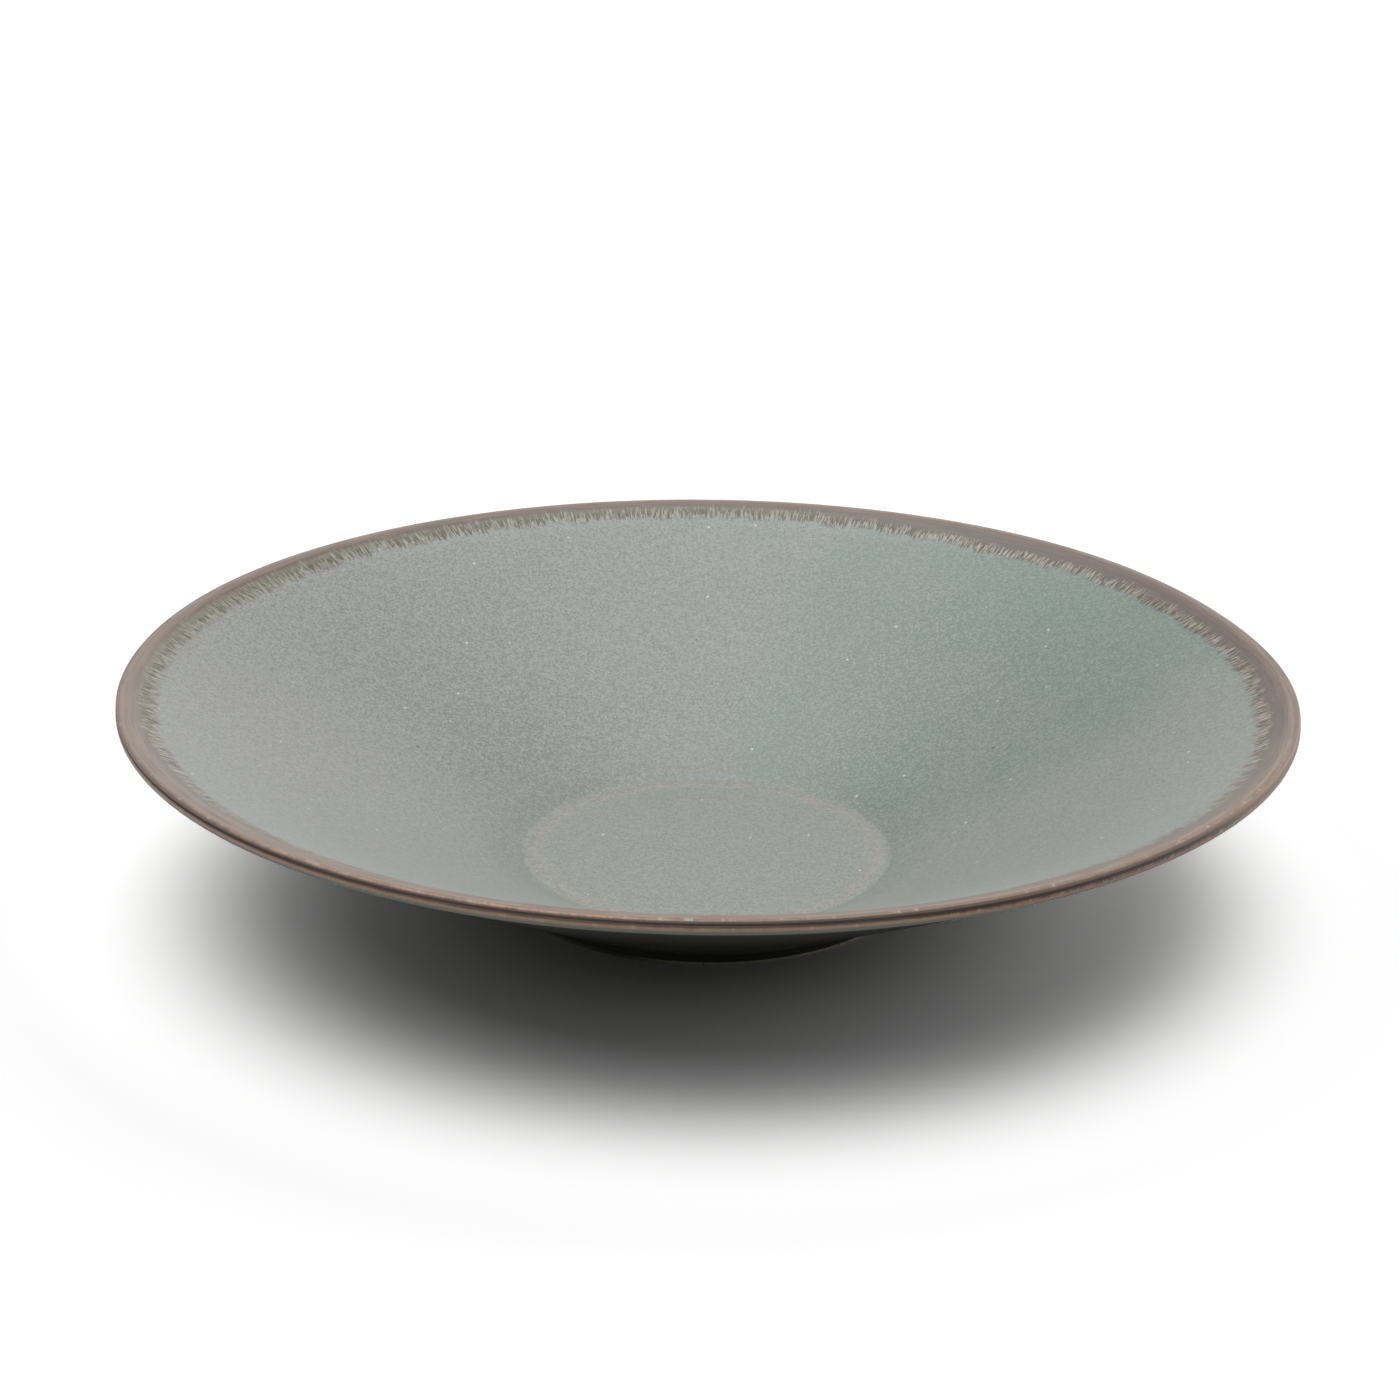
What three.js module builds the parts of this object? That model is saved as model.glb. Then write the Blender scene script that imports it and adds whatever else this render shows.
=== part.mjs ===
// Flat stoneware bowl: a thrown clay body on a low foot ring, under four coats of glaze.
// Millimetres, +Z up, with the origin on the table at the centre of the foot.
import * as THREE from 'three';

// Size of the finished bowl, over the glaze.
const RIM_RADIUS = 130;
const BOWL_HEIGHT = 49.5;
const GLAZE = 0.4;

// Foot ring: how high it lifts the floor, how far it stands outside the floor's raised ring,
// how wide it is, the worn corners of its bearing face, and how far glaze runs down its sides.
const FOOT_HEIGHT = 2.8;
const FOOT_OUTSET = 7.5;
const FOOT_WIDTH = 5;
const FOOT_ARRIS = 0.5;
const FOOT_GLAZE_RUN = 0.8;

// Floor, and the raised ring where the floor meets the wall.
const FLOOR_THICKNESS = 3.4;
const RING_RADIUS = 38.9;
const RING_WIDTH = 3.4;
const RING_RISE = 0.6;

// Lip of the clay body. Insets run in from its outermost edge, drops run down from its top.
const LIP_TOP_ROUND = 0.6;
const LIP_TOP_INSET = 2;
const LIP_SHOULDER_INSET = 0.6;
const LIP_SHOULDER_DROP = 0.5;
const LIP_CHANNEL_INSET = 0.6;
const LIP_CHANNEL_DROP = 1.2;
const LIP_EDGE_ROUND = 0.5;
const LIP_EDGE_DROP = 2;

// Brown band: how far it runs down the wall inside, and how far under the lip.
const BAND_INSIDE = 7;
const BAND_OUTSIDE = 1.5;

// Facets of the turned surfaces and of their rounded parts.
const TURN_STEPS = 72;
const RING_STEPS = 4;
const LIP_TOP_STEPS = 2;
const LIP_EDGE_STEPS = 4;

const QUARTER_TURN = Math.PI / 2;

// A point of the bowl's section, at a radius from the axis and a height above the table.
function at(radius, height) {
  return new THREE.Vector2(radius, height);
}

// A point of the lip's section, placed from the clay lip's outermost edge and its top.
function onLip(inset, drop) {
  return at(RIM_RADIUS - GLAZE - inset, BOWL_HEIGHT - GLAZE - drop);
}

// The point a given distance from another one, in a given direction.
function along(start, angle, distance) {
  return at(start.x + distance * Math.cos(angle), start.y + distance * Math.sin(angle));
}

// The angle from one heading to another, the short way round.
function turnBetween(from, to) {
  return Math.atan2(Math.sin(to - from), Math.cos(to - from));
}

// An arc about a centre, from one angle to another the short way round.
function arc(centre, radius, from, to, steps) {
  const points = [];
  for (let step = 0; step <= steps; step += 1) {
    points.push(along(centre, from + (turnBetween(from, to) * step) / steps, radius));
  }
  return points;
}

// The angle, seen from a circle's centre, of the point where a line from outside touches it.
// Of the two such points, side 1 gives the counter-clockwise one and side -1 the other.
function touchAngle(centre, radius, outside, side) {
  const reach = outside.clone().sub(centre);
  return reach.angle() + side * Math.acos(radius / reach.length());
}

// The floor's raised ring: a smooth swelling of cosine-squared section.
function raisedRing(level) {
  const points = [];
  for (let step = 0; step <= RING_STEPS; step += 1) {
    const across = (2 * step) / RING_STEPS - 1;
    const rise = RING_RISE * Math.cos(across * QUARTER_TURN) ** 2;
    points.push(at(RING_RADIUS + (across * RING_WIDTH) / 2, level + rise));
  }
  return points;
}

// The heading of the stretch of an outline that ends at the given point.
function heading(outline, index) {
  return outline[index].clone().sub(outline[index - 1]).angle();
}

// An outline moved to its left by the thickness of a coat. Each corner moves along its mitre,
// so that the coat is equally thick on both sides of the corner.
function coatOver(outline, thickness) {
  return outline.map((point, index) => {
    const arriving = heading(outline, Math.max(index, 1));
    const leaving = heading(outline, Math.min(index + 1, outline.length - 1));
    const halfTurn = turnBetween(arriving, leaving) / 2;
    return along(point, arriving + halfTurn + QUARTER_TURN, thickness / Math.cos(halfTurn));
  });
}

// A section's closed outline: out along its first face and back along its second.
function between(outward, inward) {
  return [...outward, ...inward.toReversed()];
}

// The clay's face, from the middle of the floor, up the wall and over the lip, then down the
// underside to the glaze line on the foot.
const floorLevel = FOOT_HEIGHT + FLOOR_THICKNESS;
const footRadius = RING_RADIUS + FOOT_OUTSET;
const ring = raisedRing(floorLevel);
const wallFoot = ring[RING_STEPS];
const seatEdge = at(footRadius, FOOT_HEIGHT);
const footGlazeLine = at(footRadius, FOOT_HEIGHT - FOOT_GLAZE_RUN);

const lipTop = onLip(LIP_TOP_INSET, LIP_TOP_ROUND);
const lipShoulder = onLip(LIP_SHOULDER_INSET, LIP_SHOULDER_DROP);
const lipChannel = onLip(LIP_CHANNEL_INSET, LIP_CHANNEL_DROP);
const lipEdge = onLip(LIP_EDGE_ROUND, LIP_EDGE_DROP);

const wallTouch = touchAngle(lipTop, LIP_TOP_ROUND, wallFoot, -1);
const shoulderTouch = touchAngle(lipTop, LIP_TOP_ROUND, lipShoulder, 1);
const channelTouch = touchAngle(lipEdge, LIP_EDGE_ROUND, lipChannel, -1);
const undersideTouch = touchAngle(lipEdge, LIP_EDGE_ROUND, seatEdge, 1);
const rolledTop = arc(lipTop, LIP_TOP_ROUND, wallTouch, shoulderTouch, LIP_TOP_STEPS);
const roundedEdge = arc(lipEdge, LIP_EDGE_ROUND, channelTouch, undersideTouch, LIP_EDGE_STEPS);

const bandTop = along(rolledTop[0], wallTouch + QUARTER_TURN, BAND_INSIDE);
const bandFoot = along(roundedEdge[LIP_EDGE_STEPS], undersideTouch - QUARTER_TURN, BAND_OUTSIDE);

const insideFace = [at(0, floorLevel), ...ring];
const rimFace = [bandTop, ...rolledTop, lipShoulder, lipChannel, ...roundedEdge, bandFoot];
const clayFace = [...insideFace, ...rimFace, seatEdge, footGlazeLine];
const glazeFace = coatOver(clayFace, GLAZE);

// The section of a glaze coat over one stretch of the clay's face.
function coatSection(first, last) {
  const start = clayFace.indexOf(first);
  const end = clayFace.indexOf(last) + 1;
  return between(clayFace.slice(start, end), glazeFace.slice(start, end));
}

// The clay body's section, closed by the flat underside of the floor.
const seatFace = [at(0, FOOT_HEIGHT), seatEdge];
const bodySection = between(seatFace, clayFace.slice(0, clayFace.indexOf(seatEdge)));

// The foot ring's section, seated on the floor's underside, with worn corners below.
const footInner = footRadius - FOOT_WIDTH;
const footSection = [
  at(footInner, FOOT_HEIGHT),
  at(footInner, FOOT_ARRIS),
  at(footInner + FOOT_ARRIS, 0),
  at(footRadius - FOOT_ARRIS, 0),
  at(footRadius, FOOT_ARRIS),
  seatEdge,
];

// The coat in the well under the floor, down to the glaze line on the foot's inner side.
const wellFace = [
  at(0, FOOT_HEIGHT),
  at(footInner, FOOT_HEIGHT),
  at(footInner, FOOT_HEIGHT - FOOT_GLAZE_RUN),
];
const wellSection = between(coatOver(wellFace, -GLAZE), wellFace);

function stoneware() {
  return new THREE.MeshStandardMaterial({ color: 0xb3a692, roughness: 0.9, metalness: 0 });
}

function greenGlaze() {
  return new THREE.MeshStandardMaterial({ color: 0x9ba29a, roughness: 0.45, metalness: 0 });
}

function brownGlaze() {
  return new THREE.MeshStandardMaterial({ color: 0x8f7d73, roughness: 0.4, metalness: 0 });
}

// Turns a section about the bowl's axis. A section clear of the axis is closed on itself.
function turned(name, section, material) {
  const profile = section[0].x === 0 ? section : [...section, section[0]];
  const geometry = new THREE.LatheGeometry(profile, TURN_STEPS);
  geometry.rotateX(QUARTER_TURN);
  const mesh = new THREE.Mesh(geometry, material);
  mesh.name = name;
  return mesh;
}

const bowl = new THREE.Group();
bowl.add(turned('clay_body', bodySection, stoneware()));
bowl.add(turned('foot_ring', footSection, stoneware()));
bowl.add(turned('inside_glaze', coatSection(clayFace[0], bandTop), greenGlaze()));
bowl.add(turned('rim_glaze', coatSection(bandTop, bandFoot), brownGlaze()));
bowl.add(turned('outside_glaze', coatSection(bandFoot, footGlazeLine), greenGlaze()));
bowl.add(turned('foot_well_glaze', wellSection, greenGlaze()));

export default bowl;
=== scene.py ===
import bpy
import numpy as np
from mathutils import Matrix, Vector


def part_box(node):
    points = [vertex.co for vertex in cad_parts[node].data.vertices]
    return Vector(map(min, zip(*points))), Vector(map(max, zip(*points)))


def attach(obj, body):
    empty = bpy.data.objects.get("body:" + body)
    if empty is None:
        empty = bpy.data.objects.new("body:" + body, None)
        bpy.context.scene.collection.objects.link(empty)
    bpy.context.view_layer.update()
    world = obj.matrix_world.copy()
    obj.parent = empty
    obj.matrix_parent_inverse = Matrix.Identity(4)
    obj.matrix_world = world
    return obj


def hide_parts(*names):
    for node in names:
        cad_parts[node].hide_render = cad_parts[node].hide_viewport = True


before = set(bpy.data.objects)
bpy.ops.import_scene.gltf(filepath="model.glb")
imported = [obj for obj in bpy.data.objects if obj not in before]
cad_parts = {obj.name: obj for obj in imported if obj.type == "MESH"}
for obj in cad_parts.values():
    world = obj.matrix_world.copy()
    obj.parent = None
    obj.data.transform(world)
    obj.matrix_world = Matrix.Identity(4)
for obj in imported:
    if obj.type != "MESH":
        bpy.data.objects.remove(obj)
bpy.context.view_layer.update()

# Clay body: the floor, wall and lip of the bowl, thrown in one piece from pale stoneware clay.
# A low ring is left where the floor meets the wall, and the lip is rolled over and grooved with
# a tool. The section is drawn over the glaze, in millimetres, and the clay lies one coat inside it.
MM = 0.001
GLAZE = 0.4
RIM_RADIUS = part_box("rim_glaze")[1].x / MM
BOWL_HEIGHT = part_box("rim_glaze")[1].z / MM
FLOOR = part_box("inside_glaze")[0].z / MM + GLAZE
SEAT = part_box("foot_ring")[1].z / MM
FOOT_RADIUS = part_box("foot_ring")[1].x / MM

# The glaze stops this far above the table, round the foot.
FOOT_GLAZE_LINE = 1.0

# Steps of the turned surfaces, and every how many rows the clay under the glaze keeps one.
TURN_STEPS = 480
SPAN_STEPS = 8
BODY_STRIDE = 2
COAT_STRIDE = 4
SHARP_EDGE = np.radians(50)

# The raised ring on the floor, and the foot of the wall outside it.
RING_RADIUS = 38.9
RING_REACH = 2.4
RING_CREST = 0.5
RING_RISE = 0.3
WALL_FOOT = (43.0, FLOOR + 1.23)
WALL_SPANS = 10

# The lip, from the top of the wall round to its underside: how far in from the edge, how far down.
WALL_TOP = (4.4, 0.88)
LIP_CREST = ((2.75, 0.05), (1.4, 0.0))
LIP_SHOULDER = ((0.25, 0.05), (0.02, 0.68))
LIP_GROOVE = (0.5, 1.03)
LIP_EDGE = ((0.0, 1.48), (0.0, 2.45))
LIP_UNDER = ((0.6, 3.15), (2.0, 3.92))
UNDERSIDE_SPANS = 10
FOOT_FILLET = 0.9

# Slight unevenness of hand throwing, in millimetres at the rim, with the turns of its waves in
# radians, and three flattened places of the rim by their angle, sharpness and depth.
OVAL = 0.15
OVAL_TURN = 0.6
SWAY = 0.12
TWO_WAVE_TURN = 2.0
THREE_WAVE_TURN = 0.7
FLATS = ((0.36, 18, 1.4), (3.0, 23, 0.35), (4.71, 23, 0.6))


def on_lip(inset, drop):
    """A point of the section, placed from the bowl's outermost edge and from its top."""
    return RIM_RADIUS - inset, BOWL_HEIGHT - drop


def coat_over(controls, thickness):
    """A control line moved to its left by a coat's thickness. Each corner moves along its mitre, by
    the thickness over the cosine of half the corner's turn."""
    points = np.asarray(controls, float)
    leg = np.diff(points, axis=0)
    heading = np.arctan2(leg[:, 1], leg[:, 0])
    arriving = np.concatenate([heading[:1], heading])
    leaving = np.concatenate([heading, heading[-1:]])
    half_turn = np.angle(np.exp(1j * (leaving - arriving))) / 2
    side = arriving + half_turn + np.pi / 2
    reach = thickness / np.cos(half_turn)
    return points + reach[:, None] * np.stack([np.cos(side), np.sin(side)], axis=1)


def smooth_line(controls, steps):
    """A quadratic B-spline of a control line: it touches the middle of every leg and rounds the
    corners between by parabolas. The end points are doubled, so the line starts and ends on them."""
    points = np.asarray(controls, float)
    points = np.concatenate([points[:1], points, points[-1:]])
    before, corner, after = points[:-2, None], points[1:-1, None], points[2:, None]
    t = np.linspace(0, 1, steps, endpoint=False)[None, :, None]
    spans = 0.5 * ((1 - t) ** 2 * before + (1 + 2 * t - 2 * t * t) * corner + t * t * after)
    return np.concatenate([spans.reshape(-1, 2), points[-1:]])


def thrown(radius, height, angle):
    """Carries points of the section round the axis as a hand leaves them. Towards the rim the bowl
    is slightly oval, its edge rises and falls by waves of two and three to the turn, and each flat
    place lies in by its depth times the exponential of its sharpness times cosine of turn less one."""
    share = np.clip((radius - FOOT_RADIUS) / (RIM_RADIUS - FOOT_RADIUS), 0, 1) ** 2
    flat = sum(depth * np.exp(sharp * (np.cos(angle - place) - 1)) for place, sharp, depth in FLATS)
    out = radius - share * (flat + OVAL * (1 + np.cos(2 * angle + OVAL_TURN)) / 2)
    waves = 2 + np.cos(2 * angle + TWO_WAVE_TURN) + np.cos(3 * angle + THREE_WAVE_TURN)
    up = height - SWAY * share * waves / 4
    return np.stack([out * np.cos(angle), out * np.sin(angle), up], axis=-1) * MM


def turned(name, outline, run=None):
    """A closed surface of revolution. The outline runs counter-clockwise in the half plane of radius
    and height, and is closed on itself or starts and ends on the axis, where a row is one vertex.
    The attribute run says how far along the section a point lies from the crest of the lip."""
    radius, height = outline.T
    angle = np.arange(TURN_STEPS) * (2 * np.pi / TURN_STEPS)
    points = thrown(radius[:, None], height[:, None], angle[None, :]).reshape(-1, 3)
    index = np.arange(len(points)).reshape(len(outline), TURN_STEPS)
    on_axis = radius < MM
    index[on_axis] = index[on_axis][:, :1]
    following = np.roll(index, -1, axis=0)
    rows = slice(None, -1) if on_axis.any() else slice(None)
    ring = (index, np.roll(index, -1, axis=1), np.roll(following, -1, axis=1), following)
    quads = np.stack([corner[rows] for corner in ring], axis=-1).reshape(-1, 4)
    used, quads = np.unique(quads, return_inverse=True)
    quads = quads.reshape(-1, 4)
    fan_out = quads[:, 0] == quads[:, 1]
    fan_in = quads[:, 2] == quads[:, 3]
    faces = quads[~(fan_out | fan_in)].tolist()
    faces += quads[fan_out][:, [0, 2, 3]].tolist() + quads[fan_in][:, :3].tolist()
    mesh = bpy.data.meshes.new(name)
    mesh.from_pydata(points[used].tolist(), [], faces)
    mesh.shade_smooth()
    mesh.set_sharp_from_angle(angle=SHARP_EDGE)
    if run is not None:
        attribute = mesh.attributes.new("run", "FLOAT", "POINT")
        attribute.data.foreach_set("value", np.repeat(run, TURN_STEPS)[used].astype(np.float32))
    piece = bpy.data.objects.new(name, mesh)
    bpy.context.scene.collection.objects.link(piece)
    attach(piece, "root")
    return piece


def node(tree, kind, **settings):
    """A new node of a node tree, with its settings."""
    made = tree.nodes.new(kind)
    for name, value in settings.items():
        setattr(made, name, value)
    return made


def feed(tree, socket, value):
    """Links a socket to an output of another node, or sets it to a constant."""
    if isinstance(value, bpy.types.NodeSocket):
        tree.links.new(value, socket)
    else:
        socket.default_value = value


def sums(tree, operation, *values):
    """One step of arithmetic on values of the surface."""
    made = node(tree, "ShaderNodeMath", operation=operation)
    for socket, value in zip(made.inputs, values):
        feed(tree, socket, value)
    return made.outputs["Value"]


def times(tree, product, *others):
    """The product of two or more values of the surface."""
    for value in others:
        product = sums(tree, "MULTIPLY", product, value)
    return product


def arrows(tree, operation, *values):
    """One step of arithmetic on vectors. A plain number goes to the node's scale."""
    made = node(tree, "ShaderNodeVectorMath", operation=operation)
    for place, value in enumerate(values):
        feed(tree, made.inputs["Scale" if isinstance(value, float) else place], value)
    return made.outputs["Value" if operation in ("LENGTH", "DOT_PRODUCT") else "Vector"]


def upright(tree, length):
    """A vector straight up, of a given length."""
    made = node(tree, "ShaderNodeCombineXYZ")
    feed(tree, made.inputs["Z"], length)
    return made.outputs["Vector"]


def spread(tree, value, start, end, low=0.0, high=1.0):
    """Maps a value smoothly from low at start to high at end, and holds it outside them."""
    made = node(tree, "ShaderNodeMapRange", interpolation_type="SMOOTHSTEP")
    for socket, given in zip(made.inputs, (value, start, end, low, high)):
        feed(tree, socket, given)
    return made.outputs["Result"]


def grain(tree, place, scale, detail=2.0, roughness=0.5):
    """Noise about 0.5, with features of one over scale in the units of its place."""
    made = node(tree, "ShaderNodeTexNoise")
    feed(tree, made.inputs["Vector"], place)
    feed(tree, made.inputs["Scale"], scale)
    feed(tree, made.inputs["Detail"], detail)
    feed(tree, made.inputs["Roughness"], roughness)
    return made.outputs["Fac"]


def blend(tree, share, first, second):
    """The first colour, with the second over it by its share."""
    made = node(tree, "ShaderNodeMix", data_type="RGBA")
    feed(tree, made.inputs[0], share)
    feed(tree, made.inputs[6], first)
    feed(tree, made.inputs[7], second)
    return made.outputs[2]


def paint(red, green, blue):
    """A colour as it is seen on a screen, from 0 to 255, as the linear colour a shader takes."""
    seen = np.array([red, green, blue]) / 255
    linear = np.where(seen <= 0.04045, seen / 12.92, ((seen + 0.055) / 1.055) ** 2.4)
    return (*linear, 1.0)


def finish_of(name, specular):
    """A new material with its Principled shader, and the place on the piece in millimetres."""
    material = bpy.data.materials.new(name)
    material.use_nodes = True
    tree = material.node_tree
    shader = tree.nodes["Principled BSDF"]
    shader.inputs["Specular IOR Level"].default_value = specular
    place = arrows(tree, "SCALE", node(tree, "ShaderNodeTexCoord").outputs["Object"], 1 / MM)
    return material, tree, shader, place


def relief(tree, shader, height, distance):
    """Bumps on a shader's normal, with the full height of the pattern given in millimetres."""
    bump = node(tree, "ShaderNodeBump")
    feed(tree, bump.inputs["Strength"], 1.0)
    feed(tree, bump.inputs["Distance"], distance * MM)
    feed(tree, bump.inputs["Height"], height)
    tree.links.new(bump.outputs["Normal"], shader.inputs["Normal"])


CLAY = paint(206, 202, 178)
CLAY_CLOUD = paint(215, 211, 189)
SAND_PALE = paint(221, 218, 200)
IRON_BROWN = paint(132, 114, 88)
# Painted shade: the clay is greyer towards its front left side, where the foot lies in shadow.
SHADED_CLAY_GREY = paint(112, 106, 90)
SHADED_CLAY_SIDE = (-0.8, -0.6, 0.0)
CLAY_SPECULAR = 0.25
SAND_HEIGHT = 0.08


def bare_stoneware():
    """Fired clay without glaze: pale and matt, with fine sand and a few dark iron specks, and
    greyer on its front left side as painted shade, where the foot lies in shadow."""
    material, tree, shader, place = finish_of("bare_stoneware", CLAY_SPECULAR)
    sand = grain(tree, place, 2.6, 3.0, 0.6)
    cloud = grain(tree, place, 0.09, 3.0)
    iron = spread(tree, grain(tree, place, 1.1, 1.0), 0.7, 0.76)
    direction = arrows(tree, "NORMALIZE", arrows(tree, "MULTIPLY", place, (1, 1, 0)))
    # Painted shade: greyer clay on the front left side, where the foot is in shadow.
    painted_shade = spread(tree, arrows(tree, "DOT_PRODUCT", direction, SHADED_CLAY_SIDE), 0.66, 0.88)
    colour = blend(tree, spread(tree, cloud, 0.35, 0.65), CLAY, CLAY_CLOUD)
    colour = blend(tree, spread(tree, sand, 0.35, 0.7), colour, SAND_PALE)
    colour = blend(tree, iron, colour, IRON_BROWN)
    colour = blend(tree, painted_shade, colour, SHADED_CLAY_GREY)
    feed(tree, shader.inputs["Base Color"], colour)
    feed(tree, shader.inputs["Roughness"], spread(tree, sand, 0.3, 0.7, 0.82, 0.95))
    relief(tree, shader, sand, SAND_HEIGHT)
    return material


# The whole section over the glaze, from the middle of the floor to the glaze line on the foot. The
# underside runs straight down to a small fillet above the foot.
wall = np.linspace(WALL_FOOT, on_lip(*WALL_TOP), WALL_SPANS)
under_radius, under_height = on_lip(*LIP_UNDER[0])
fillet_drop = FOOT_FILLET * (under_height - SEAT) / (under_radius - FOOT_RADIUS)
foot_glaze_radius = FOOT_RADIUS + GLAZE
foot_corner = (foot_glaze_radius, SEAT - GLAZE / 2)
fillet_top = (foot_glaze_radius + FOOT_FILLET, foot_corner[1] + fillet_drop)
underside = np.linspace(on_lip(*LIP_UNDER[1]), fillet_top, UNDERSIDE_SPANS)
floor_and_ring = [
    (0, FLOOR),
    (RING_RADIUS - 2 * RING_REACH, FLOOR),
    (RING_RADIUS - RING_REACH, FLOOR),
    (RING_RADIUS - RING_CREST, FLOOR + RING_RISE),
    (RING_RADIUS + RING_CREST, FLOOR + RING_RISE),
    (RING_RADIUS + RING_REACH, FLOOR + RING_RISE / 3),
]
lip_points = [*LIP_CREST, *LIP_SHOULDER, LIP_GROOVE, *LIP_EDGE, LIP_UNDER[0]]
lip = [on_lip(*point) for point in lip_points]
foot_side = [foot_corner, (foot_glaze_radius, FOOT_GLAZE_LINE)]
face_controls = np.concatenate([floor_and_ring, wall, lip, underside, foot_side])
clay_controls = coat_over(face_controls, -GLAZE)
clay_controls[0] = (0, FLOOR - GLAZE)
clay_controls[-1] = (FOOT_RADIUS, FOOT_GLAZE_LINE)

face = smooth_line(face_controls, SPAN_STEPS)
clay = smooth_line(clay_controls, SPAN_STEPS)
seat_row = np.argmin(np.abs(clay[:, 1] - SEAT))

clay_face = clay[:seat_row:BODY_STRIDE]
clay_outline = np.concatenate([[(0, SEAT), (FOOT_RADIUS, SEAT)], clay_face[::-1]])
clay_body = turned("clay_body_thrown", clay_outline)
clay_body.data.materials.append(bare_stoneware())
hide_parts("clay_body")

# Foot ring: a low ring of the same clay, turned under the floor. Its bearing face is left bare and
# its corners are worn round, so that the bowl stands flat and does not stick to the kiln shelf.
FOOT_WIDTH = FOOT_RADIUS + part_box("foot_well_glaze")[0].x / MM
FOOT_ARRIS = 0.5

foot_inner = FOOT_RADIUS - FOOT_WIDTH
foot_controls = [
    (foot_inner, SEAT),
    (foot_inner, FOOT_ARRIS),
    (foot_inner, 0),
    (foot_inner + FOOT_ARRIS, 0),
    (FOOT_RADIUS - FOOT_ARRIS, 0),
    (FOOT_RADIUS, 0),
    (FOOT_RADIUS, FOOT_ARRIS),
    (FOOT_RADIUS, SEAT),
]
foot_ring = turned("foot_ring_turned", smooth_line(foot_controls, SPAN_STEPS))
foot_ring.data.materials.append(bpy.data.materials["bare_stoneware"])
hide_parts("foot_ring")

# Inside glaze: a satin grey-green coat over the floor and the wall, with a fine crystal speckle.
# Brown glaze from the lip runs down over its upper edge in short drips with pale lines between.
BAND_TOP_CONTROL = len(floor_and_ring) + WALL_SPANS - 1
BAND_FOOT_CONTROL = len(floor_and_ring) + WALL_SPANS + len(lip_points)

step_length = np.hypot(*np.diff(face, axis=0).T)
along = np.concatenate([[0], np.cumsum(step_length)])
run_from_crest = along[np.argmax(face[:, 1])] - along


def coat(name, first, last):
    """The closed coat between two control points of the section: out along the clay, and back
    along the glaze's face. A point's run is its distance up the section to the lip's crest."""
    rows = slice(first * SPAN_STEPS, last * SPAN_STEPS + 1)
    outline = np.concatenate([clay[rows][::COAT_STRIDE], face[rows][::-1]])
    run = np.concatenate([run_from_crest[rows][::COAT_STRIDE], run_from_crest[rows][::-1]])
    return turned(name, outline, run)


# Sparse specks: their mask, cells to the millimetre, radius in cells and share of cells left empty.
SPECKS = (("White", 0.085, 0.028, 0.6), ("Dark", 0.03, 0.011, 0.7))


def crystal_group():
    """Node group: the fine crystals of the satin glaze, with sparse white and dark specks. Pale and
    Deep are masks of the crystals and of the gaps between them, and White and Dark of the specks."""
    tree = bpy.data.node_groups.new("glaze_crystals", "ShaderNodeTree")
    tree.interface.new_socket("Place", in_out="INPUT", socket_type="NodeSocketVector")
    for name in ("Pale", "Deep", "White", "Dark", "Height"):
        tree.interface.new_socket(name, in_out="OUTPUT", socket_type="NodeSocketFloat")
    place = node(tree, "NodeGroupInput").outputs["Place"]
    out = node(tree, "NodeGroupOutput")
    fine = grain(tree, place, 1.8, 1.0)
    patch = sums(tree, "MULTIPLY_ADD", grain(tree, place, 0.8, 3.0), 0.5, -0.25)
    tone = sums(tree, "ADD", fine, patch)
    feed(tree, out.inputs["Pale"], spread(tree, tone, 0.5, 0.66))
    feed(tree, out.inputs["Deep"], spread(tree, tone, 0.48, 0.32))
    feed(tree, out.inputs["Height"], fine)
    for name, scale, size, share in SPECKS:
        cells = node(tree, "ShaderNodeTexVoronoi", voronoi_dimensions="2D")
        feed(tree, cells.inputs["Vector"], place)
        feed(tree, cells.inputs["Scale"], scale)
        chance = node(tree, "ShaderNodeSeparateColor")
        feed(tree, chance.inputs["Color"], cells.outputs["Color"])
        reach = sums(tree, "MULTIPLY", spread(tree, chance.outputs["Red"], share, 1.0), size)
        inside = sums(tree, "LESS_THAN", cells.outputs["Distance"], reach)
        feed(tree, out.inputs[name], inside)
    return tree


def shades(tree, value, stops):
    """A colour that changes along a value, through the given stops of value and colour."""
    start, end = stops[0][0], stops[-1][0]
    ramp = node(tree, "ShaderNodeValToRGB")
    share = node(tree, "ShaderNodeMapRange")
    for socket, given in zip(share.inputs, (value, start, end)):
        feed(tree, socket, given)
    tree.links.new(share.outputs["Result"], ramp.inputs["Fac"])
    elements = ramp.color_ramp.elements
    elements[0].position, elements[1].position = 0.0, 1.0
    elements[0].color, elements[1].color = stops[0][1], stops[-1][1]
    for at, colour in stops[1:-1]:
        elements.new((at - start) / (end - start)).color = colour
    return ramp.outputs["Color"]


# Colours of the green, its crystals and specks, and the ring on the floor.
GREEN = paint(146, 151, 145)
TEAL = paint(122, 142, 134)
GREY = paint(152, 152, 146)
CRYSTAL_PALE = paint(175, 181, 176)
CRYSTAL_DEEP = paint(104, 116, 108)
SPECK_WHITE = paint(214, 216, 211)
SPECK_DARK = paint(90, 86, 74)
RING_GREY = paint(158, 153, 146)

# Colours of the drips, the brown band, the lip's mouldings and the outside near the foot.
DRIP_CREAM = paint(186, 177, 159)
DRIP_OLIVE = paint(166, 162, 138)
DARK_OLIVE = paint(86, 90, 68)
DRIP_DARK = paint(86, 69, 56)
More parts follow.
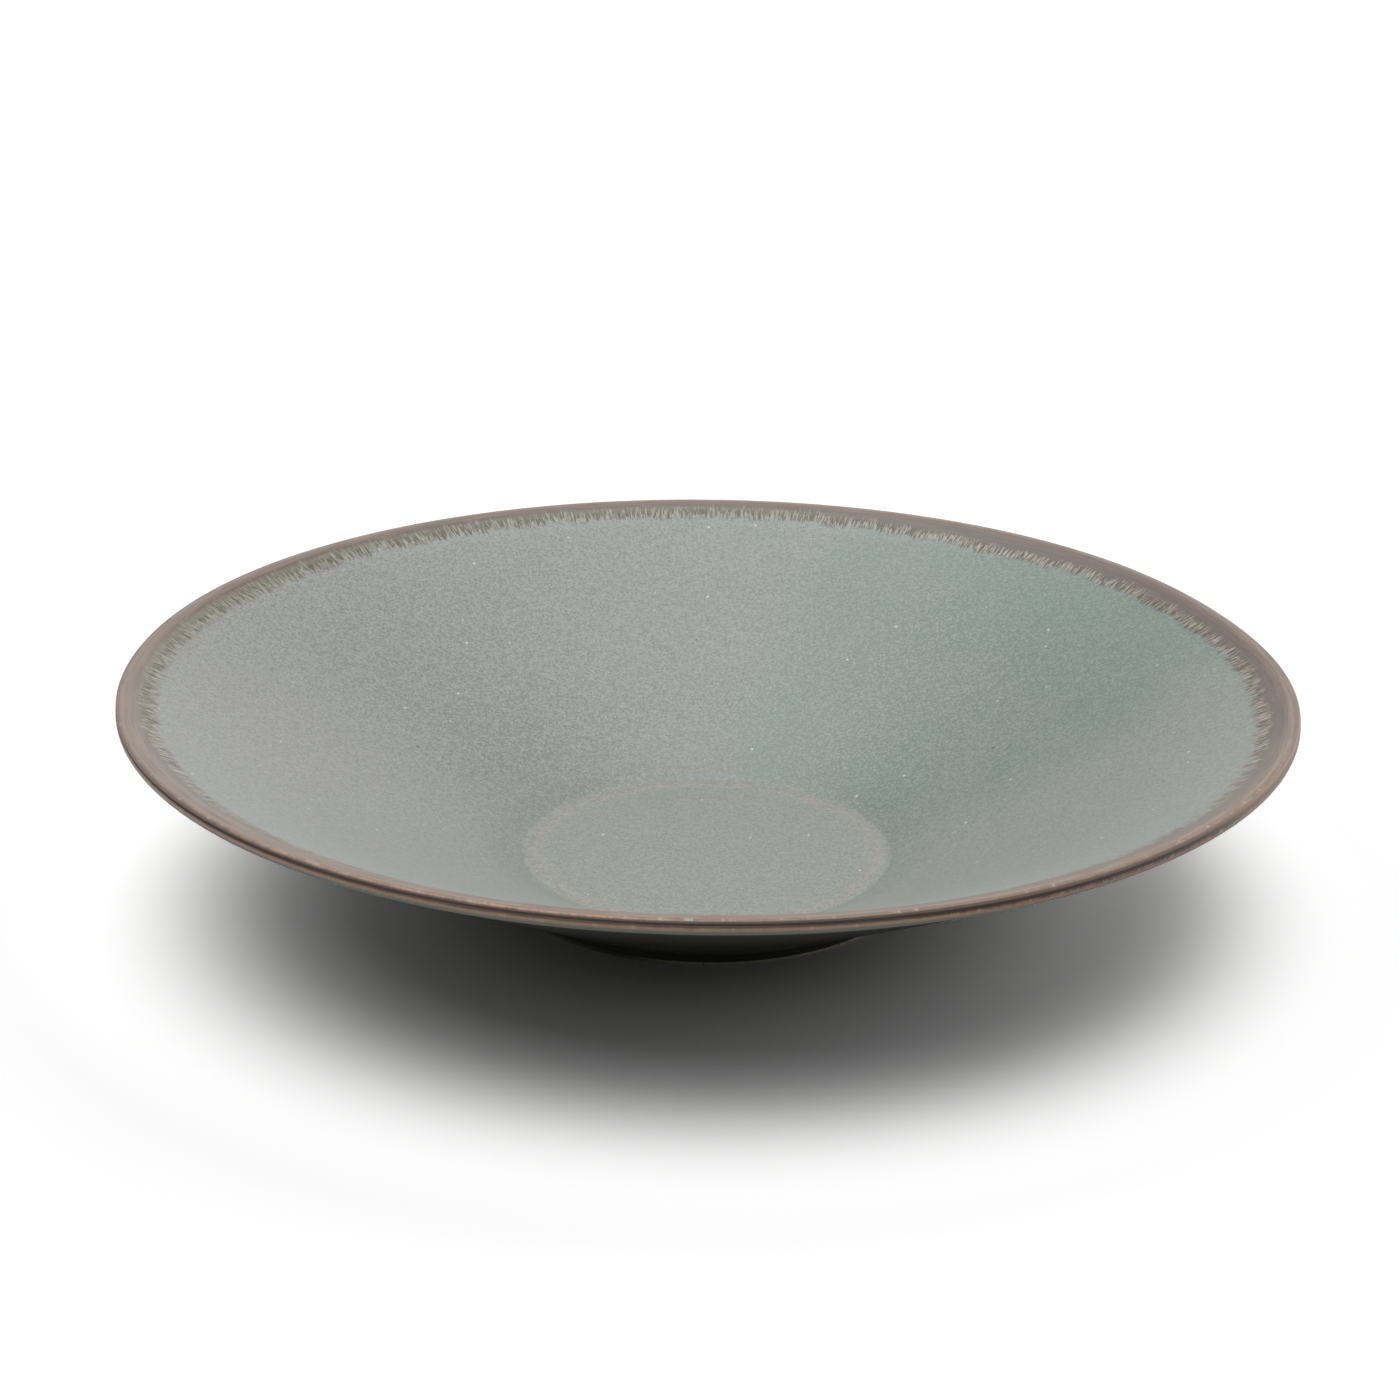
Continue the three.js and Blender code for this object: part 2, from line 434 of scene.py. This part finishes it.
# Painted sheen: a paler brown for the band's front, standing in for grazing reflection.
FRONT_SHEEN_BROWN = paint(134, 125, 115)
RUSTY = paint(136, 108, 94)
ORANGE = paint(182, 140, 112)
LINE_PALE = paint(170, 149, 131)
LINE_DARK = paint(98, 80, 68)
LEFT_PALE = paint(164, 153, 144)
RIGHT_BROWN = paint(122, 105, 92)
SIDE_GROOVE = paint(116, 96, 84)
GOLD_EDGE = paint(172, 147, 119)
# Painted highlight: pale glints on the lip's crest and shoulder in front.
PAINTED_GLINT_PALE = paint(188, 181, 174)
EDGE_CREAM = paint(184, 166, 134)
# Painted bounce light: the dark outside is lighter towards the foot.
FOOT_BOUNCE_GREEN = paint(80, 82, 71)

# Directions out from the axis to the middle of each side on which the glaze changes.
FRONT = (0.0, -1.0, 0.0)
BEHIND = (0.0, 1.0, 0.0)
RIGHT = (1.0, 0.0, 0.0)
TEAL_SIDE = (0.72, 0.69, 0.0)
GREY_SIDE = (-0.97, -0.26, 0.0)
GREY_RIM_SIDE = (-0.9, 0.43, 0.0)
DULL_RIM_SIDE = (-0.87, 0.5, 0.0)
BACK_SIDE = (-0.64, 0.77, 0.0)
ORANGE_SIDE = (-0.42, -0.91, 0.0)
TAN_SIDE = (0.77, -0.64, 0.0)
PALE_LIP_SIDE = (-0.87, -0.5, 0.0)
BROWN_LIP_SIDE = (0.95, 0.31, 0.0)
WIDE_GROOVE_SIDE = (0.6, -0.8, 0.0)
NARROW_SIDE = (0.91, 0.41, 0.0)
ROLLED_SIDE = (0.94, -0.34, 0.0)
DOTTED_SIDE = (0.42, -0.91, 0.0)
STREAKED_SIDE = (-0.91, -0.42, 0.0)

# Zones of the green by radius, where a change starts and ends, with its shares where not 0 and 1.
TEAL_FOOT = (39.0, 45.0)
TEAL_RISE = (80.0, 118.0, 0.6, 1.0)
GREY_ZONE = (44.0, 60.0)
GREY_RIM_ZONE = (104.0, 119.0)
PALE_RIM_ZONE = (92.0, 119.0)
POOL_ZONE = (54.0, 45.0)
POOL_BACK_ZONE = (85.0, 55.0, 0.0, 0.13)
POOL_INNER_EDGE = (40.5, 43.0)
FLAT_FLOOR = (62.0, 42.0)
PALE_RING_RADIUS = RING_RADIUS - 0.3
PALE_RING_EDGE = (3.4, 0.4, 0.0, 0.85)

# The brown band: strands down it, lines round it, the run of its lower front, how much shorter it
# is behind, and how far slow waves and single drips move that front either way.
STRAND_RADIUS = 124.0
STRAND_STRETCH = 0.12
LINE_SPACING = 2.2
LINE_STRETCH = 0.08
BAND_RUN = 7.0
BAND_SHORTER_BEHIND = 1.6
FRONT_WAVE = 0.6
DRIP_LENGTH = 2.1

# Bands of the lip's section: the run at the middle, and how far off it a band is gone and full.
CREST_BAND = (-0.8, 0.55, 0.2)
SHOULDER_BAND = (-1.15, 0.5, 0.12)
GROOVE_BAND = (-2.1, 0.8, 0.4)
EDGE_BAND = (-3.1, 0.5, 0.1)

# Shades of the brown by its run: down the band at the sides and behind, and across the lip.
SIDE_SHADES = (
    (1.9, paint(132, 116, 107)),
    (2.5, paint(121, 107, 100)),
    (3.3, paint(119, 107, 101)),
    (5.6, paint(117, 104, 97)),
    (7.6, paint(108, 93, 80)),
)
BACK_SHADES = (
    (1.9, paint(122, 106, 97)),
    (2.5, paint(107, 92, 84)),
    (3.6, paint(119, 112, 99)),
    (4.3, paint(102, 106, 86)),
    (5.3, paint(92, 80, 66)),
    (7.6, paint(90, 76, 62)),
)
# Past the lip's edge the shades darken to the dark outside glaze, partly as painted shade further under
# the bowl.
LIP_SHADES = (
    (1.9, paint(128, 112, 101)),
    (1.2, paint(132, 117, 105)),
    (0.5, paint(140, 125, 112)),
    (0.0, paint(152, 139, 127)),
    (-0.35, paint(148, 133, 120)),
    (-0.7, paint(132, 113, 99)),
    (-1.1, paint(128, 107, 91)),
    (-1.5, paint(110, 88, 75)),
    (-1.8, paint(70, 48, 37)),
    (-2.1, paint(58, 38, 27)),
    (-2.45, paint(62, 43, 32)),
    (-2.7, paint(104, 80, 65)),
    (-3.0, paint(148, 118, 96)),
    (-3.35, paint(138, 116, 96)),
    (-3.65, paint(112, 105, 89)),
    (-4.1, paint(106, 109, 95)),
    (-5.0, paint(86, 90, 80)),
    (-7.0, paint(44, 46, 41)),
)


def running_glaze_group(crystals):
    """Node group: the whole glazed face by its place and its run from the lip's crest. Brown covers
    the lip, its lower front is drawn out into drips by noise that is long down the wall and narrow
    round it, and below lies the green of the inside. Past the crest the shades follow the mouldings."""
    tree = bpy.data.node_groups.new("running_glaze", "ShaderNodeTree")
    tree.interface.new_socket("Place", in_out="INPUT", socket_type="NodeSocketVector")
    tree.interface.new_socket("Run", in_out="INPUT", socket_type="NodeSocketFloat")
    tree.interface.new_socket("Colour", in_out="OUTPUT", socket_type="NodeSocketColor")
    tree.interface.new_socket("Roughness", in_out="OUTPUT", socket_type="NodeSocketFloat")
    tree.interface.new_socket("Height", in_out="OUTPUT", socket_type="NodeSocketFloat")
    given = node(tree, "NodeGroupInput")
    place, run = given.outputs["Place"], given.outputs["Run"]
    out = node(tree, "NodeGroupOutput")

    # Places round the rim: a unit direction, and strands that follow the run of the glaze.
    flat = arrows(tree, "MULTIPLY", place, (1, 1, 0))
    radius = arrows(tree, "LENGTH", flat)
    direction = arrows(tree, "NORMALIZE", flat)
    around = arrows(tree, "SCALE", direction, STRAND_RADIUS)
    strand = arrows(tree, "ADD", around, upright(tree, times(tree, run, STRAND_STRETCH)))
    cloud = sums(tree, "MULTIPLY_ADD", grain(tree, place, 0.025, 3.0), 0.5, -0.25)

    def towards(side, start, end, low=0.0, high=1.0):
        """A share by the cosine of the angle between a place and the middle of a side."""
        return spread(tree, arrows(tree, "DOT_PRODUCT", direction, side), start, end, low, high)

    def facing(side, start, end):
        """The share of a side of the bowl, with a cloudy border."""
        cosine = arrows(tree, "DOT_PRODUCT", direction, side)
        return spread(tree, sums(tree, "ADD", cosine, cloud), start, end)

    def band(value, middle, gone, full):
        """A band about a middle value, by how far off it the band is gone and full."""
        off = sums(tree, "ABSOLUTE", sums(tree, "SUBTRACT", value, middle))
        return spread(tree, off, gone, full)

    back = facing(BACK_SIDE, 0.25, 0.65)
    front = facing(FRONT, 0.1, 0.6)

    # The green below: teal on one side and greyer on the other, paler to the rim and on the ring,
    # and deeper at the foot of the wall where it pools, also up the wall at the back left, and less so
    # on the right.
    speckle = node(tree, "ShaderNodeGroup", node_tree=crystals)
    feed(tree, speckle.inputs["Place"], place)
    teal = times(tree, spread(tree, radius, *TEAL_FOOT), spread(tree, radius, *TEAL_RISE))
    teal = times(tree, facing(TEAL_SIDE, 0.72, 1.0), teal)
    grey = times(tree, facing(GREY_SIDE, 0.7, 0.95), spread(tree, radius, *GREY_ZONE))
    rim_grey = times(tree, facing(GREY_RIM_SIDE, 0.6, 0.92), spread(tree, radius, *GREY_RIM_ZONE))
    green = blend(tree, teal, GREEN, TEAL)
    green = blend(tree, sums(tree, "MAXIMUM", grey, rim_grey), green, GREY)
    halo = times(tree, facing(BEHIND, 0.4, 0.9), spread(tree, run, 12.0, 7.5, 0.0, 0.2))
    rim_pale = sums(tree, "MULTIPLY_ADD", facing(DULL_RIM_SIDE, 0.3, 0.9), -0.12, 0.16)
    rim_pale = times(tree, rim_pale, spread(tree, radius, *PALE_RIM_ZONE))
    green = blend(tree, sums(tree, "ADD", halo, rim_pale), green, CRYSTAL_PALE)
    pool = sums(tree, "MULTIPLY_ADD", facing(RIGHT, 0.5, 0.95), -0.13, 0.22)
    pool = times(tree, pool, spread(tree, radius, *POOL_ZONE))
    behind = times(tree, facing(BACK_SIDE, 0.3, 0.9), spread(tree, radius, *POOL_BACK_ZONE))
    pool = times(tree, sums(tree, "MAXIMUM", pool, behind), spread(tree, radius, *POOL_INNER_EDGE))
    green = blend(tree, pool, green, CRYSTAL_DEEP)
    ring_edge = sums(tree, "MULTIPLY_ADD", grain(tree, place, 1.1, 3.0, 0.65), 5.0, -2.5)
    off_ring = sums(tree, "ABSOLUTE", sums(tree, "SUBTRACT", radius, PALE_RING_RADIUS))
    on_ring = spread(tree, sums(tree, "ADD", off_ring, ring_edge), *PALE_RING_EDGE)
    green = blend(tree, on_ring, green, RING_GREY)
    shown = sums(tree, "SUBTRACT", facing(BEHIND, 0.0, 0.7), spread(tree, radius, *FLAT_FLOOR))
    shown = sums(tree, "MULTIPLY_ADD", spread(tree, shown, 0.0, 1.0), 0.1, 0.42)
    shown = times(tree, shown, sums(tree, "MULTIPLY_ADD", teal, -0.3, 1.0))
    green = blend(tree, times(tree, speckle.outputs["Pale"], shown), green, CRYSTAL_PALE)
    green = blend(tree, times(tree, speckle.outputs["Deep"], shown), green, CRYSTAL_DEEP)
    green = blend(tree, speckle.outputs["White"], green, SPECK_WHITE)
    green = blend(tree, speckle.outputs["Dark"], green, SPECK_DARK)

    # The brown's lower front, drawn out into fingers, with cream in the gaps between them and dark
    # and cream hair lines along them. Past is the run beyond the front, before its drips.
    line_place = arrows(tree, "SCALE", around, LINE_STRETCH)
    line_place = arrows(tree, "ADD", line_place, upright(tree, times(tree, run, LINE_SPACING)))
    line = grain(tree, line_place, 1.0, 2.0, 0.6)

    def brushed(colour, strength):
        """Brown glaze with pale and dark lines round the rim, left by brush and wheel."""
        colour = blend(tree, spread(tree, line, 0.52, 0.68, 0.0, strength), colour, LINE_PALE)
        return blend(tree, spread(tree, line, 0.48, 0.32, 0.0, strength), colour, LINE_DARK)

    slow = spread(tree, grain(tree, strand, 0.22, 2.0), 0.3, 0.7, -FRONT_WAVE, FRONT_WAVE)
    drip = spread(tree, grain(tree, strand, 1.9, 2.0, 0.6), 0.3, 0.7, -DRIP_LENGTH, DRIP_LENGTH)
    narrow = towards(NARROW_SIDE, 0.88, 0.99)
    middle = sums(tree, "MULTIPLY_ADD", back, -BAND_SHORTER_BEHIND, BAND_RUN)
    middle = sums(tree, "SUBTRACT", middle, narrow)
    past = sums(tree, "SUBTRACT", run, sums(tree, "ADD", middle, slow))
    reach = sums(tree, "SUBTRACT", drip, past)
    covered = spread(tree, reach, -0.3, 0.3)
    running = blend(tree, back, shades(tree, run, SIDE_SHADES), shades(tree, run, BACK_SHADES))
    # Painted sheen: the band is paler towards the front.
    running = blend(tree, times(tree, front, 0.8), running, FRONT_SHEEN_BROWN)
    left_pale = times(tree, facing(PALE_LIP_SIDE, 0.6, 0.95), 0.35)
    near_lip = times(tree, left_pale, spread(tree, run, 5.0, 2.5))
    running = brushed(blend(tree, near_lip, running, LEFT_PALE), 0.25)
    unlined = sums(tree, "MULTIPLY_ADD", facing(STREAKED_SIDE, 0.75, 0.92), -0.5, 0.6)
    unlined = sums(tree, "MAXIMUM", times(tree, front, unlined), times(tree, back, 0.15))
    lined = sums(tree, "SUBTRACT", 1.0, unlined)
    gap = times(tree, spread(tree, past, 2.2, 0.2), spread(tree, reach, 0.2, -0.7, 0.0, 0.7))
    hair = grain(tree, strand, 2.9, 1.0)
    dark_line = times(tree, spread(tree, past, -1.8, 0.2), spread(tree, past, 2.8, 1.2))
    dark_line = times(tree, dark_line, spread(tree, hair, 0.52, 0.4, 0.0, 0.9))
    cream_start = sums(tree, "MULTIPLY_ADD", back, -1.4, -2.2)
    cream_start = sums(tree, "MULTIPLY_ADD", narrow, 0.9, cream_start)
    cream_line = spread(tree, past, cream_start, sums(tree, "ADD", cream_start, 1.6))
    cream_line = times(tree, cream_line, spread(tree, past, 1.4, 0.2))
    cream_line = times(tree, cream_line, spread(tree, hair, 0.54, 0.63, 0.0, 0.75))
    cream = blend(tree, times(tree, back, 0.6), DRIP_CREAM, DRIP_OLIVE)
    dark = blend(tree, times(tree, back, 0.8), DRIP_DARK, DARK_OLIVE)
    inside = blend(tree, times(tree, lined, gap), green, cream)
    inside = blend(tree, covered, inside, running)
    inside = blend(tree, times(tree, lined, dark_line), inside, dark)
    inside = blend(tree, times(tree, lined, cream_line), inside, cream)

    # The lip: pale on its crest with glints in front painted as highlights, brown or orange on the
    # shoulder, a groove that is dark in front and gold on the right, and a tan edge with cream spots.
    # Past the edge the outside's green darkens under the bowl, partly as painted shade, and lightens
    # again towards the foot as painted bounce light.
    uneven = sums(tree, "MULTIPLY_ADD", grain(tree, around, 0.2, 4.0, 0.6), 0.36, -0.18)
    rolled = times(tree, towards(ROLLED_SIDE, 0.8, 0.97, 0.0, 0.6), spread(tree, run, -2.8, -1.2))
    lip_run = sums(tree, "SUBTRACT", sums(tree, "ADD", run, uneven), rolled)
    on_top = spread(tree, lip_run, -1.5, -0.8)
    on_crest = band(lip_run, *CREST_BAND)
    on_shoulder = band(lip_run, *SHOULDER_BAND)
    on_groove = band(lip_run, *GROOVE_BAND)
    on_edge = band(lip_run, *EDGE_BAND)
    wide = towards(WIDE_GROOVE_SIDE, 0.93, 0.99, 0.0, 0.6)
    wide = times(tree, wide, spread(tree, lip_run, -1.0, -2.2))
    lip_shade = shades(tree, sums(tree, "ADD", lip_run, wide), LIP_SHADES)
    off_front = towards(FRONT, 0.65, 0.3, 0.0, 0.75)
    on_right = towards(RIGHT, 0.7, 0.9, 0.0, 0.75)
    lip_shade = blend(tree, times(tree, on_groove, off_front), lip_shade, SIDE_GROOVE)
    lip_shade = blend(tree, times(tree, on_groove, on_right), lip_shade, GOLD_EDGE)
    lip_shade = blend(tree, times(tree, on_shoulder, on_right), lip_shade, RIGHT_BROWN)
    rusty = spread(tree, grain(tree, around, 0.11, 3.0), 0.45, 0.65, 0.0, 0.45)
    lip_shade = blend(tree, times(tree, rusty, on_top), lip_shade, RUSTY)
    lip_shade = blend(tree, times(tree, left_pale, on_top), lip_shade, LEFT_PALE)
    right_brown = times(tree, facing(BROWN_LIP_SIDE, 0.7, 0.95), 0.45)
    lip_shade = blend(tree, times(tree, right_brown, on_top), lip_shade, RIGHT_BROWN)
    lip_shade = brushed(lip_shade, times(tree, on_top, 0.35))
    wear = spread(tree, grain(tree, around, 0.35, 5.0, 0.75), 0.32, 0.6)
    orange_side = towards(ORANGE_SIDE, 0.9, 0.97, 0.2, 1.0)
    orange_side = sums(tree, "MAXIMUM", orange_side, towards(TAN_SIDE, 0.9, 0.98, 0.0, 0.6))
    worn_shoulder = times(tree, on_shoulder, orange_side, wear)
    worn = sums(tree, "MAXIMUM", worn_shoulder, times(tree, on_edge, times(tree, wear, 0.4)))
    lip_shade = blend(tree, worn, lip_shade, ORANGE)
    # Painted highlight: pale glints along the crest, in front only.
    painted_glint = spread(tree, grain(tree, around, 0.4, 5.0, 0.72), 0.53, 0.66, 0.0, 0.7)
    lip_shade = blend(tree, times(tree, painted_glint, on_crest, front), lip_shade, PAINTED_GLINT_PALE)
    spot = spread(tree, grain(tree, around, 0.33, 5.0, 0.75), 0.5, 0.66, 0.0, 0.7)
    spot = times(tree, spot, on_edge, facing(DOTTED_SIDE, 0.6, 0.85))
    lip_shade = blend(tree, spot, lip_shade, EDGE_CREAM)
    # Painted bounce light: the outside lightens towards the foot.
    lip_shade = blend(tree, spread(tree, run, -55.0, -95.0), lip_shade, FOOT_BOUNCE_GREEN)

    # The outside is more matt than the satin inside.
    outside_matt = spread(tree, lip_run, -3.4, -4.0, 0.0, 0.25)
    satin = spread(tree, speckle.outputs["Height"], 0.3, 0.7, 0.42, 0.5)
    colour = blend(tree, spread(tree, run, 2.2, 1.5), inside, lip_shade)
    feed(tree, out.inputs["Colour"], colour)
    feed(tree, out.inputs["Roughness"], sums(tree, "ADD", outside_matt, satin))
    feed(tree, out.inputs["Height"], speckle.outputs["Height"])
    return tree


SATIN_SPECULAR = 0.9
MATT_SPECULAR = 0.12
CRYSTAL_HEIGHT = 0.012


def glazed(name, group, specular):
    """Glaze whose colour, gloss and fine relief come from the running glaze group."""
    material, tree, shader, place = finish_of(name, specular)
    run = node(tree, "ShaderNodeAttribute", attribute_name="run").outputs["Fac"]
    pattern = node(tree, "ShaderNodeGroup", node_tree=group)
    feed(tree, pattern.inputs["Place"], place)
    feed(tree, pattern.inputs["Run"], run)
    feed(tree, shader.inputs["Base Color"], pattern.outputs["Colour"])
    feed(tree, shader.inputs["Roughness"], pattern.outputs["Roughness"])
    relief(tree, shader, pattern.outputs["Height"], CRYSTAL_HEIGHT)
    return material


running_glaze = running_glaze_group(crystal_group())
inside_glaze = coat("inside_glaze_coat", 0, BAND_TOP_CONTROL)
inside_glaze.data.materials.append(glazed("green_inside_glaze", running_glaze, SATIN_SPECULAR))
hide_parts("inside_glaze")

# Rim glaze: the iron-brown band that is dipped over the lip. It breaks pale and orange where it is
# thin on the crest, the shoulder and the edge, and stays dark where it is thick in the groove.
rim_glaze = coat("rim_glaze_coat", BAND_TOP_CONTROL, BAND_FOOT_CONTROL)
rim_glaze.data.materials.append(glazed("brown_rim_glaze", running_glaze, SATIN_SPECULAR))
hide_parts("rim_glaze")

# Outside glaze: a dark, matt green coat under the bowl, from the lip's edge down to the foot, where
# it stops in a wiped line above the bare clay.
outside_glaze = coat("outside_glaze_coat", BAND_FOOT_CONTROL, len(face_controls))
outside_glaze.data.materials.append(glazed("green_outside_glaze", running_glaze, MATT_SPECULAR))
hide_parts("outside_glaze")

# Foot well glaze: a thin coat on the underside of the floor, inside the foot ring, with its edge
# wiped clean a little way above the ring's bearing face.
well_clay = np.array([(0, SEAT), (foot_inner, SEAT), (foot_inner, FOOT_GLAZE_LINE)])
well_face = coat_over(well_clay, -GLAZE)
well_face[0] = (0, SEAT - GLAZE)
well_outline = np.concatenate([smooth_line(well_face, SPAN_STEPS), well_clay[::-1]])
well_run = run_from_crest[-1] - np.hypot(*(well_outline - well_outline[SPAN_STEPS]).T)
foot_well_glaze = turned("foot_well_glaze_coat", well_outline, well_run)
foot_well_glaze.data.materials.append(glazed("green_well_glaze", running_glaze, MATT_SPECULAR))
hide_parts("foot_well_glaze")

# Table: a smooth white sheet under the bowl. The picture is exposed for the darker glaze, so the
# sheet is seen over-bright round the bowl. Its seen colour is darker close round the foot, a painted
# shadow, and drops across the shadow's edge, a painted softening of that shadow.
TABLE_REACH = 6.0
TABLE_COLOUR = (0.6, 0.6, 0.6, 1)
TABLE_WHITE = (1.0, 1.0, 1.0, 1)
TABLE_SEEN_PAINTED_SHADOW = (0.8, 0.8, 0.78, 1)
TABLE_SEEN_NEAR = (1.8, 1.8, 1.79, 1)
TABLE_SEEN_FAR = (1.1, 1.1, 1.1, 1)
PAINTED_SHADOW_REACH = (0.042, 0.095)
PAINTED_SHADOW_FADE = (0.116, 0.162)

table_corners = TABLE_REACH * np.array([(-1, -1, 0), (1, -1, 0), (1, 1, 0), (-1, 1, 0)])
table_mesh = bpy.data.meshes.new("table")
table_mesh.from_pydata(table_corners.tolist(), [], [(0, 1, 2, 3)])
table = bpy.data.objects.new("table", table_mesh)
bpy.context.scene.collection.objects.link(table)

table_white = bpy.data.materials.new("table_white")
table_white.use_nodes = True
tree = table_white.node_tree
tree.nodes.clear()
path = node(tree, "ShaderNodeLightPath")
mirrored = sums(tree, "MAXIMUM", path.outputs["Is Glossy Ray"], path.outputs["Is Transmission Ray"])
colour = blend(tree, mirrored, TABLE_COLOUR, TABLE_WHITE)
paper = node(tree, "ShaderNodeBsdfDiffuse")
distance = arrows(tree, "LENGTH", node(tree, "ShaderNodeTexCoord").outputs["Object"])
# Painted shadow: the sheet is seen darker round the foot and dimmer across the shadow's edge.
seen = blend(tree, spread(tree, distance, *PAINTED_SHADOW_REACH), TABLE_SEEN_PAINTED_SHADOW, TABLE_SEEN_NEAR)
seen = blend(tree, spread(tree, distance, *PAINTED_SHADOW_FADE), seen, TABLE_SEEN_FAR)
feed(tree, paper.inputs["Color"], blend(tree, path.outputs["Is Camera Ray"], colour, seen))
tree.links.new(paper.outputs["BSDF"], node(tree, "ShaderNodeOutputMaterial").inputs["Surface"])
table_mesh.materials.append(table_white)

# Light: a broad soft lamp overhead, brighter in its middle, as two discs of light far away. A pale
# wall glows low behind the bowl on the right, and a faint one on the left.
LAMP_LEAN = (-0.088, -0.018, 1.0)
LAMP_DISCS = (("lamp_middle", 65, 0.98), ("lamp_border", 86, 1.62))
WALL_FADE = (1.0, 0.3)
GLOW_SIDE = (0.67, 0.74, 0.0)
GLOW_SPREAD = (0.08, 1.0, 0.0, 1.18)
LEFT_SIDE = (-1.0, 0.0, 0.0)
LEFT_SPREAD = (0.0, 1.0, 0.0, 0.24)

for name, width, level in LAMP_DISCS:
    lamp = bpy.data.lights.new(name, "SUN")
    lamp.angle = np.radians(width)
    lamp.energy = level
    lamp_object = bpy.data.objects.new(name, lamp)
    lamp_object.rotation_euler = Vector(LAMP_LEAN).to_track_quat("Z", "Y").to_euler()
    bpy.context.scene.collection.objects.link(lamp_object)

room = bpy.data.worlds.new("room")
room.use_nodes = True
tree = room.node_tree
direction = node(tree, "ShaderNodeTexCoord").outputs["Generated"]
height = node(tree, "ShaderNodeSeparateXYZ")
feed(tree, height.inputs["Vector"], direction)
low = spread(tree, height.outputs["Z"], *WALL_FADE)
glow = spread(tree, arrows(tree, "DOT_PRODUCT", direction, GLOW_SIDE), *GLOW_SPREAD)
left = spread(tree, arrows(tree, "DOT_PRODUCT", direction, LEFT_SIDE), *LEFT_SPREAD)
walls = times(tree, low, sums(tree, "ADD", glow, left))
camera_ray = node(tree, "ShaderNodeLightPath").outputs["Is Camera Ray"]
feed(tree, tree.nodes["Background"].inputs["Color"], (1, 1, 1, 1))
feed(tree, tree.nodes["Background"].inputs["Strength"], sums(tree, "MAXIMUM", walls, camera_ray))
bpy.context.scene.world = room

# Camera: a short telephoto view from just above the rim, turned slightly as it was held by hand.
CAMERA_DISTANCE = 0.7
CAMERA_RISE = np.radians(22.79)
AIM_HEIGHT = 0.02
TILT = np.radians(1.76)
PAN = np.radians(-0.15)
ROLL = np.radians(-0.75)
FOCAL_PIXELS = 3102
IMAGE_PIXELS = 1400
SENSOR = 36

lens = bpy.data.cameras.new("camera")
lens.sensor_width = SENSOR
lens.lens = SENSOR * FOCAL_PIXELS / IMAGE_PIXELS
camera = bpy.data.objects.new("camera", lens)
bpy.context.scene.collection.objects.link(camera)
camera_height = AIM_HEIGHT + CAMERA_DISTANCE * np.sin(CAMERA_RISE)
stand = (0, -CAMERA_DISTANCE * np.cos(CAMERA_RISE), camera_height)
turn = Matrix.Rotation(np.pi / 2 - CAMERA_RISE + TILT, 4, "X") @ Matrix.Rotation(-PAN, 4, "Y")
camera.matrix_world = Matrix.Translation(stand) @ turn @ Matrix.Rotation(-ROLL, 4, "Z")
bpy.context.scene.camera = camera
bpy.context.scene.view_settings.view_transform = "Standard"
